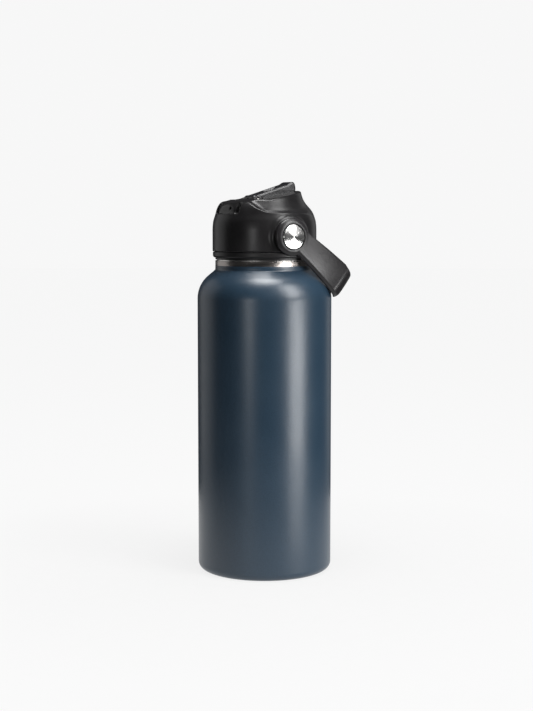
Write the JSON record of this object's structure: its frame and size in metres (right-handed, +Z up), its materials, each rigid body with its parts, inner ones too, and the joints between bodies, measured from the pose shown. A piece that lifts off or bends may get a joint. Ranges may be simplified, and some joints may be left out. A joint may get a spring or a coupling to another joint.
{
  "type": "water bottle",
  "caption": "Insulated wide-mouth drinking bottle with a screw-on straw lid, a flip-up spout and a swinging bail handle pivoted on the lid's sides.",
  "frame": {"origin": "on the bottle's axis, in the middle of the flat steel cover under the base, 0.3 mm above the ring that the bottle stands on", "axes": "+Z up along the bottle's axis; the spout points to +X and the folded handle lies on the +X side; the handle's pivots are on the Y axis's two sides"},
  "size_m": [0.1004, 0.09, 0.2617],
  "materials": {
    "body_coating": "dark teal-blue powder coat with a fine grain",
    "bare_steel": "bare stainless steel, finely brushed round",
    "disc_steel": "stainless steel, turned with a circular grain",
    "lid_plastic": "black moulded polypropylene with a fine satin texture",
    "liner_plastic": "black moulded polypropylene, smoother than the cap",
    "spout_plastic": "black moulded plastic, satin",
    "handle_plastic": "black moulded plastic with a soft matt touch",
    "bush_plastic": "natural acetal bush",
    "straw_plastic": "translucent polypropylene tube",
    "gasket_rubber": "grey silicone rubber"
  },
  "bodies": {
    "bottle": {"outer_wall": "body_coating", "inner_flask": "bare_steel", "vacuum_base": "bare_steel", "vacuum_seal_plug": "bare_steel", "getter_disc": "bare_steel", "base_cover": "bare_steel"},
    "straw": {"straw": "straw_plastic"},
    "lid": {"lid_cap": "lid_plastic", "lid_liner": "liner_plastic", "lid_gasket": "gasket_rubber", "vent_valve": "gasket_rubber", "spout_seal": "gasket_rubber", "spout_pin": "bare_steel", "pivot_bush_right": "bush_plastic", "pivot_bush_left": "bush_plastic", "pivot_screw_right": "bare_steel", "pivot_screw_left": "bare_steel"},
    "spout": {"spout": "spout_plastic"},
    "handle": {"handle": "handle_plastic", "pivot_disc_right": "disc_steel", "pivot_disc_left": "disc_steel"}
  },
  "joints": [
    {"name": "lid_rise", "type": "slide", "parent": "bottle", "child": "straw", "axis": [0, 0, 1], "range_m": [0, 0.0101]},
    {"name": "lid_turn", "type": "hinge", "parent": "straw", "child": "lid", "pos_m": [0, 0, 0.2126], "axis": [0, 0, 1], "range_deg": [0, 720]},
    {"name": "spout_flip", "type": "hinge", "parent": "lid", "child": "spout", "pos_m": [-0.01, 0, 0.2496], "axis": [0, -1, 0], "range_deg": [0, 85]},
    {"name": "handle_swing", "type": "hinge", "parent": "lid", "child": "handle", "pos_m": [0, 0, 0.2253], "axis": [0, -1, 0], "range_deg": [0, 248]}
  ],
  "couplings": [
    {"joint": "lid_rise", "follows": "lid_turn", "m_per_rad": 0.00079577}
  ]
}
